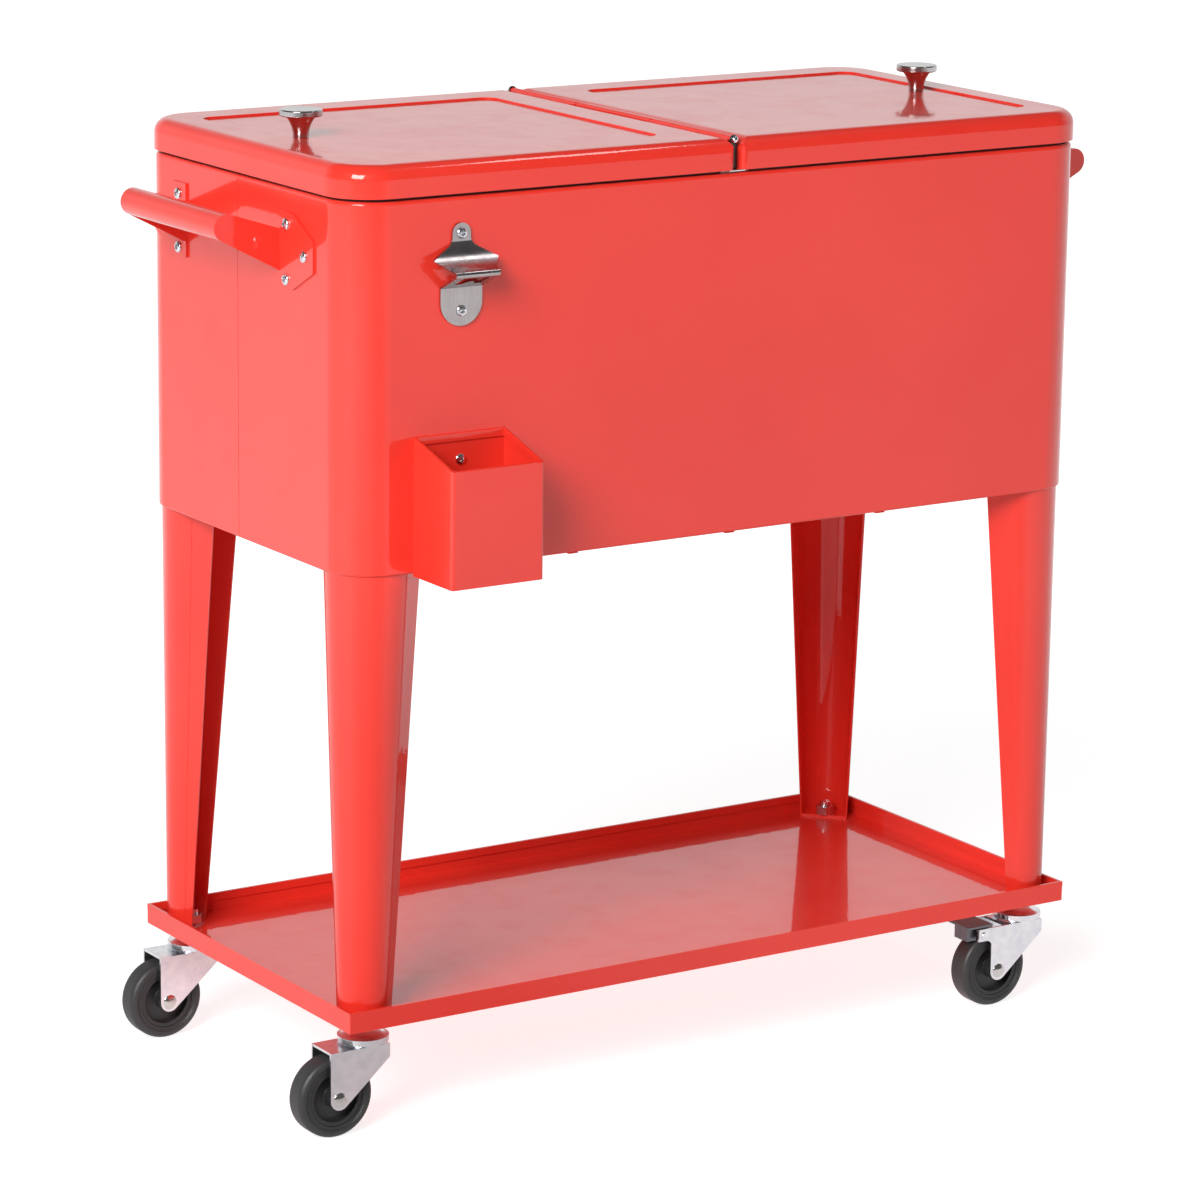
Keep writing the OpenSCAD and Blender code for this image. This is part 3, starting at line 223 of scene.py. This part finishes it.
RED = enamel("red_enamel", (0.78, 0.030, 0.018), (0.83, 0.040, 0.024))
BLACK_ENAMEL = enamel("black_enamel", (0.012, 0.012, 0.013), (0.020, 0.020, 0.021))
OPENER_STEEL = brushed("opener_steel", (0.47, 0.43, 0.435), (1.0, 1.0, 0.04), 0.20)
KNOB_STEEL = brushed("knob_steel", (0.56, 0.54, 0.545), (0.05, 1.0, 1.0), 0.10)
ZINC = plated("bright_zinc", (0.80, 0.80, 0.81), 0.16)
CASTER_ZINC = plated("caster_zinc", (0.90, 0.90, 0.92), 0.18, 0.02)
NICKEL = plated("nickel", (0.72, 0.70, 0.66), 0.14)
CHROME = plated("polished_plate", (0.92, 0.92, 0.93), 0.04, 0.02)
WHITE_PLASTIC = moulded("white_plastic", (0.80, 0.80, 0.78), 0.28, coat=0.3)
BLACK_PLASTIC = moulded("black_plastic", (0.016, 0.016, 0.017), 0.42)
WHEEL_PLASTIC = moulded("wheel_plastic", (0.020, 0.020, 0.021), 0.38)
TYRE_RUBBER = moulded("tyre_rubber", (0.030, 0.030, 0.031), 0.42, 500.0, 0.00006)
# Seal rubber tinted dark maroon instead of black: painted shade, standing in for the red-lit shadow in the
# seam gap under the lids.
SEAL_PAINTED_SHADE = moulded("seal_rubber", (0.055, 0.008, 0.007), 0.7)
DARK_STEEL = plated("dark_steel", (0.20, 0.20, 0.21), 0.30)
FOAM = rigid_foam("rigid_foam")

MATERIAL_OF_SLOT = {
    "red_paint": RED,
    "foam": FOAM,
    "white_plastic": WHITE_PLASTIC,
    "black_steel": BLACK_ENAMEL,
    "zinc": ZINC,
    "polished_steel": CHROME,
    "seal_rubber": SEAL_PAINTED_SHADE,
    "brushed_steel": OPENER_STEEL,
    "caster_plate": CASTER_ZINC,
    "black_plastic": BLACK_PLASTIC,
    "axle_steel": NICKEL,
    "wheel_plastic": WHEEL_PLASTIC,
    "wheel_rubber": TYRE_RUBBER,
    "pedal_steel": DARK_STEEL,
}


def material_of(node):
    """Material for a CAD node, by its slot in the record."""
    return MATERIAL_OF_SLOT[SLOT_OF[node]]


def dress_cad_nodes():
    """Gives every CAD node its procedural material."""
    for node, obj in frame["nodes"].items():
        obj.data.materials.clear()
        obj.data.materials.append(material_of(node))


# ---------------------------------------------------------------- mesh helpers

def add_object(name, mesh, material):
    """Links a new mesh object with one material."""
    obj = bpy.data.objects.new(name, mesh)
    mesh.materials.clear()
    mesh.materials.append(material)
    bpy.context.scene.collection.objects.link(obj)
    return obj


def smooth(mesh, angle=35):
    """Smooth shading that keeps edges sharper than the angle."""
    mesh.shade_smooth()
    mesh.set_sharp_from_angle(angle=math.radians(angle))


def stand_for(obj, node):
    """Lets a piece ride with and replace a CAD node."""
    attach(obj, BODY_OF[node])
    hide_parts(node)
    return obj


def welded_copy(node):
    """Bmesh copy of a CAD node with its facets joined into clean faces."""
    bm = bmesh.new()
    bm.from_mesh(frame["nodes"][node].data)
    bmesh.ops.remove_doubles(bm, verts=bm.verts, dist=0.002 * MM)
    bmesh.ops.dissolve_limit(bm, angle_limit=math.radians(0.4), verts=bm.verts, edges=bm.edges)
    return bm


def finished(node, edge, segments=2, angle=32, material=None):
    """Stands for a CAD node with the same shape and its edges rounded by edge."""
    bm = welded_copy(node)
    mesh = bpy.data.meshes.new(node + "_finished")
    bm.to_mesh(mesh)
    bm.free()
    obj = add_object(node + "_finished", mesh, material or material_of(node))
    mesh.shade_smooth()
    rounding = obj.modifiers.new("rounding", "BEVEL")
    rounding.width = edge
    rounding.segments = segments
    rounding.limit_method = "ANGLE"
    rounding.angle_limit = math.radians(angle)
    rounding.use_clamp_overlap = True
    rounding.miter_outer = "MITER_ARC"
    normals = obj.modifiers.new("normals", "WEIGHTED_NORMAL")
    normals.weight = 80
    normals.keep_sharp = True
    return stand_for(obj, node)


def islands(node):
    """Low and high corners of each separate solid in a CAD node."""
    bm = bmesh.new()
    bm.from_mesh(frame["nodes"][node].data)
    bmesh.ops.remove_doubles(bm, verts=bm.verts, dist=0.002 * MM)
    left = set(bm.verts)
    found = []
    while left:
        stack = [left.pop()]
        points = []
        while stack:
            vert = stack.pop()
            points.append(vert.co.copy())
            for edge in vert.link_edges:
                other = edge.other_vert(vert)
                if other in left:
                    left.discard(other)
                    stack.append(other)
        array = np.array(points)
        found.append((Vector(array.min(0)), Vector(array.max(0))))
    bm.free()
    return sorted(found, key=lambda pair: tuple(round(v, 5) for v in pair[0]))


def turned(bm, profile, place, steps=64):
    """Adds a lathe-turned surface to bm: profile is (radius, height) points round local Z."""
    rings = []
    for radius, height in profile:
        if radius < 1e-7:
            rings.append([bm.verts.new(place @ Vector((0, 0, height)))])
            continue
        ring = []
        for step in range(steps):
            angle = 2 * math.pi * step / steps
            point = Vector((radius * math.cos(angle), radius * math.sin(angle), height))
            ring.append(bm.verts.new(place @ point))
        rings.append(ring)
    for low, high in zip(rings, rings[1:]):
        for step in range(steps):
            after = (step + 1) % steps
            unique = list(dict.fromkeys([low[step % len(low)], low[after % len(low)],
                                         high[after % len(high)], high[step % len(high)]]))
            if len(unique) > 2:
                bm.faces.new(unique)


def arc(centre, radius, start, end, count):
    """Points on an arc in the profile plane, angles in degrees."""
    points = []
    for i in range(count + 1):
        angle = math.radians(start + (end - start) * i / count)
        points.append((centre[0] + radius * math.cos(angle), centre[1] + radius * math.sin(angle)))
    return points


def mesh_from(bm, name, angle=35):
    """Finishes a bmesh into a smooth-shaded mesh."""
    bmesh.ops.recalc_face_normals(bm, faces=bm.faces)
    mesh = bpy.data.meshes.new(name)
    bm.to_mesh(mesh)
    bm.free()
    smooth(mesh, angle)
    return mesh


def facing(point, outward):
    """Matrix that puts local Z along outward at point."""
    turn = Vector((0, 0, 1)).rotation_difference(Vector(outward)).to_matrix().to_4x4()
    return Matrix.Translation(point) @ turn


# ---------------------------------------------------------------- screws

def cross_recess(x, y, size):
    """Depth of a cross-shaped driver recess at a point on the head."""
    across, along = sorted((abs(x), abs(y)))
    wall = min((0.17 * size - across) / (0.05 * size), (0.56 * size - along) / (0.16 * size))
    return 0.42 * size * min(1.0, max(0.0, wall))


def hex_recess(x, y, size):
    """Depth of a six-sided driver recess at a point on the head."""
    flat = max(abs(x * math.cos(a) + y * math.sin(a)) for a in (math.radians(60 * k) for k in range(3)))
    return 0.62 * size * min(1.0, max(0.0, (0.44 * size - flat) / (0.06 * size)))


def screw_head(bm, place, radius, height, recess, rings=30, steps=84):
    """Domed screw head with a driver recess, its seat at local z = 0."""
    rim = 0.28 * height
    grid = []
    for i in range(rings + 1):
        r = radius * (i / rings)
        ring = []
        for step in range(steps):
            angle = 2 * math.pi * step / steps
            x, y = r * math.cos(angle), r * math.sin(angle)
            dome = rim + (height - rim) * math.sqrt(max(0.0, 1 - (r / radius) ** 2))
            ring.append(bm.verts.new(place @ Vector((x, y, dome - recess(x, y, radius)))))
        grid.append(ring)
    seat = []
    for step in range(steps):
        angle = 2 * math.pi * step / steps
        seat.append(bm.verts.new(place @ Vector((radius * math.cos(angle), radius * math.sin(angle), 0))))
    grid.append(seat)
    for low, high in zip(grid, grid[1:]):
        for step in range(steps):
            after = (step + 1) % steps
            bm.faces.new([low[step], low[after], high[after], high[step]])


def screw_set(node, outward_of, head_height, recess, material):
    """Replaces a CAD node of screws by detailed ones. outward_of gives each one's outward axis."""
    bm = bmesh.new()
    for low, high in islands(node):
        outward = Vector(outward_of(low, high))
        axis = max(range(3), key=lambda k: abs(outward[k]))
        across = [k for k in range(3) if k != axis]
        radius = (high - low)[across[0]] / 2
        tip = (high if outward[axis] > 0 else low)[axis]
        seat = (low + high) / 2
        seat[axis] = tip - outward[axis] * head_height
        spin = Matrix.Rotation(math.radians(37 * (round(seat.z * 1000) % 7)), 4, "Z")
        screw_head(bm, facing(seat, outward) @ spin, radius, head_height, recess)
        length = (high - low)[axis] - head_height
        shank = [(0.51 * radius, 0), (0.51 * radius, -length + MM), (0.35 * radius, -length), (0, -length)]
        turned(bm, shank, facing(seat, outward), 32)
    bmesh.ops.remove_doubles(bm, verts=bm.verts, dist=0.0005 * MM)
    obj = add_object(node + "_finished", mesh_from(bm, node + "_finished", 40), material)
    return stand_for(obj, node)


def make_screws():
    """Screws of the handles, opener, catcher and hinge feet."""
    outward_x = lambda low, high: (1 if low.x > 0 else -1, 0, 0)
    outward_front = lambda low, high: (0, -1, 0)
    screw_set("handle_screws", outward_x, 2.6 * MM, hex_recess, ZINC)
    screw_set("opener_screws", outward_front, 2.4 * MM, hex_recess, ZINC)
    screw_set("catcher_screws", outward_front, 2.4 * MM, cross_recess, ZINC)
    screw_set("bracket_screws", lambda low, high: (0, 0, 1), 1.8 * MM, cross_recess, ZINC)


# ---------------------------------------------------------------- wheels

def tyre_profile(radius, half, bore):
    """Section of a tyre: rounded tread with two mould lines and stepped sides."""
    shoulder = 5.0 * MM
    step = 0.8 * MM
    ring = radius - 6.0 * MM
    flank = [(bore, half - step), (bore + 2.2 * MM, half - step), (bore + 2.7 * MM, half - 0.2 * MM),
             (bore + 3.1 * MM, half), (ring - 0.9 * MM, half), (ring - 0.5 * MM, half - 0.35 * MM),
             (ring, half - 0.35 * MM), (ring + 0.4 * MM, half - 0.02 * MM)]
    tread = arc((radius - shoulder, half - shoulder), shoulder, 88, 0, 10)
    side = flank + tread
    seam = [(radius, 0.5 * MM), (radius, -0.5 * MM)]
    other = [(r, -z) for r, z in reversed(side)]
    return side + seam + other + [side[0]]


def make_wheels():
    """Tyres with shaped treads, and wheel centres with rounded edges."""
    for corner in CORNERS:
        node = "tyre_" + corner
        size = size_of(node)
        bore = size_of("wheel_" + corner).x / 2 + 0.05 * MM
        bm = bmesh.new()
        turned(bm, tyre_profile(size.z / 2, size.y / 2, bore), facing(centre_of(node), (0, 1, 0)), 128)
        obj = add_object(node + "_finished", mesh_from(bm, node + "_finished"), TYRE_RUBBER)
        stand_for(obj, node)
        finished("wheel_" + corner, 0.6 * MM)
        finished("fork_" + corner, 0.45 * MM)
        finished("axle_" + corner, 0.3 * MM)


# ---------------------------------------------------------------- sheet metal and fittings

ROUNDED_EDGES = {
    0.9: ["left_lid_shell", "right_lid_shell"],
    0.5: ["tray", "cap_catcher", "left_handle", "right_handle", "caster_stems", "crossbar", "drain_cap",
          "drain_nut", "stem_nuts", "leg_bolts", "leg_nuts", "pedal_front_right", "pedal_back_right"],
    0.4: ["leg_" + corner for corner in CORNERS] +
         ["tub_liner", "tub_bottom_pan", "left_lid_liner", "right_lid_liner", "hinge_brackets",
          "hinge_feet", "bottom_clips", "drain_spout"],
    0.3: ["bottle_opener"],
    0.55: ["tub_wrap_front", "tub_wrap_back"],
}


def make_sheet_metal():
    """Rounds the edges of the pressed, bent and moulded pieces."""
    for width, nodes in ROUNDED_EDGES.items():
        for node in nodes:
            finished(node, width * MM, 3 if width > 0.6 else 2)


def make_knobs():
    """Knobs with a brushed face and softened rims."""
    for node in ("left_knob", "right_knob"):
        finished(node, 0.35 * MM, 3, material=KNOB_STEEL)


# ---------------------------------------------------------------- studio

CAMERA_AT = Vector((-2.1696, -3.2916, 1.3215))
CAMERA_YAW = math.radians(32.986)
CAMERA_PITCH = math.radians(13.534)
CAMERA_ROLL = math.radians(0.736)
CAMERA_LENS = 144.5
SENSOR_WIDTH = 36
VIEW_DIRECTION = (math.sin(CAMERA_YAW), math.cos(CAMERA_YAW), 0)

AMBIENT = 0.10
BACKDROP = 0.85
WHITE_TO_LENS = 1.05

FLOOR_RADIUS = 60
FLOOR_SEEN = (0.50, 0.50, 0.50)
FLOOR_REFLECTED = (0.60, 0.60, 0.60)
FLOOR_GLOW_NEAR = 0.80
BOUNCE_NEAR = 0.45
BOUNCE_FAR = 0.85

MIDDLE = (0, 0, 0.5)
KEY_AT = (-3.7, -2.5, 3.0)
KEY_SIZE = (2.2, 2.2)
KEY_POWER = 285
STRIP_AT = (1.12, -0.45, 2.8)
STRIP_AIM = (-0.2, -0.15, 0.78)
STRIP_SIZE = (0.5, 0.25)
STRIP_POWER = 3.5


def make_camera():
    """Camera at the viewing angle, as a level look turned slightly about its own axis."""
    ahead = Vector((math.sin(CAMERA_YAW) * math.cos(CAMERA_PITCH),
                    math.cos(CAMERA_YAW) * math.cos(CAMERA_PITCH), -math.sin(CAMERA_PITCH)))
    level = Vector((math.cos(CAMERA_YAW), -math.sin(CAMERA_YAW), 0))
    upright = level.cross(ahead)
    right = level * math.cos(CAMERA_ROLL) + upright * math.sin(CAMERA_ROLL)
    up = right.cross(ahead)
    turn = Matrix((right, up, -ahead)).transposed().to_4x4()
    data = bpy.data.cameras.new("camera")
    data.sensor_width = SENSOR_WIDTH
    data.lens = CAMERA_LENS
    data.clip_end = 200
    camera = bpy.data.objects.new("camera", data)
    camera.matrix_world = Matrix.Translation(CAMERA_AT) @ turn
    bpy.context.scene.collection.objects.link(camera)
    bpy.context.scene.camera = camera


def lens_switch(tree, to_surfaces, to_lens):
    """Mixes two values by whether the ray comes from the lens; to_lens may be a plain number."""
    rays = tree.nodes.new("ShaderNodeLightPath")
    switch = tree.nodes.new("ShaderNodeMix")
    tree.links.new(rays.outputs["Is Camera Ray"], switch.inputs[0])
    tree.links.new(to_surfaces, switch.inputs[2])
    if isinstance(to_lens, float):
        switch.inputs[3].default_value = to_lens
    else:
        tree.links.new(to_lens, switch.inputs[3])
    return switch.outputs[0]


def make_world():
    """Dim surround with a bright backdrop low down behind the object; pure white to the lens."""
    world = bpy.data.worlds.new("studio")
    world.use_nodes = True
    bpy.context.scene.world = world
    tree = world.node_tree
    background = tree.nodes["Background"]
    direction = tree.nodes.new("ShaderNodeTexCoord").outputs["Generated"]
    split = tree.nodes.new("ShaderNodeSeparateXYZ")
    tree.links.new(direction, split.inputs[0])
    ahead = remap(tree, dot_with(tree, direction, VIEW_DIRECTION), 0.0, 1.0, 0.05, 0.45)
    low_down = remap(tree, split.outputs["Z"], 1.0, 0.0, 0.36, 0.60)
    level = remap(tree, math_of(tree, "MULTIPLY", ahead, low_down), AMBIENT, BACKDROP, 0.0, 1.0)
    tree.links.new(lens_switch(tree, level, WHITE_TO_LENS), background.inputs["Strength"])
    background.inputs["Color"].default_value = (1, 1, 1, 1)


def area_light(name, at, target, size, power):
    """Rectangular soft light at a point, aimed at a target."""
    data = bpy.data.lights.new(name, "AREA")
    data.shape = "RECTANGLE"
    data.size, data.size_y = size
    data.energy = power
    light = bpy.data.objects.new(name, data)
    aim = (Vector(target) - Vector(at)).to_track_quat("-Z", "Y")
    light.matrix_world = Matrix.Translation(at) @ aim.to_matrix().to_4x4()
    bpy.context.scene.collection.objects.link(light)


def floor_material():
    """Pale matt floor that turns into plain white away from the object."""
    mat, tree, bsdf = new_material("studio_floor", Roughness=0.85, Specular_IOR_Level=0.05)
    rays = tree.nodes.new("ShaderNodeLightPath")
    tone = colour_mix(tree, rays.outputs["Is Camera Ray"], FLOOR_REFLECTED, FLOOR_SEEN)
    tree.links.new(tone, bsdf.inputs["Base Color"])
    space = texture_space(tree)
    away = tree.nodes.new("ShaderNodeVectorMath")
    away.operation = "LENGTH"
    tree.links.new(space, away.inputs[0])
    distance = away.outputs["Value"]
    toward_lens = dot_with(tree, space, tuple(-part for part in VIEW_DIRECTION))
    lens_side = remap(tree, math_of(tree, "DIVIDE", toward_lens, distance), 1.0, 0.12, 0.70, 0.93)
    bounce = math_of(tree, "MULTIPLY", remap(tree, distance, BOUNCE_NEAR, BOUNCE_FAR, 0.8, 2.0), lens_side)
    glow = remap(tree, distance, FLOOR_GLOW_NEAR, 1.0, 0.5, 2.0)
    tree.links.new(lens_switch(tree, bounce, glow), bsdf.inputs["Emission Strength"])
    bsdf.inputs["Emission Color"].default_value = (1, 1, 1, 1)
    return mat


def make_studio():
    """Floor, surround and soft lights."""
    bm = bmesh.new()
    bmesh.ops.create_circle(bm, cap_ends=True, radius=FLOOR_RADIUS, segments=96)
    floor = add_object("studio_floor", mesh_from(bm, "studio_floor"), floor_material())
    make_world()
    area_light("key_softbox", KEY_AT, MIDDLE, KEY_SIZE, KEY_POWER)
    area_light("strip_light", STRIP_AT, STRIP_AIM, STRIP_SIZE, STRIP_POWER)
    bpy.context.scene.view_settings.view_transform = "Standard"


dress_cad_nodes()
make_sheet_metal()
make_knobs()
make_screws()
make_wheels()
make_studio()
make_camera()
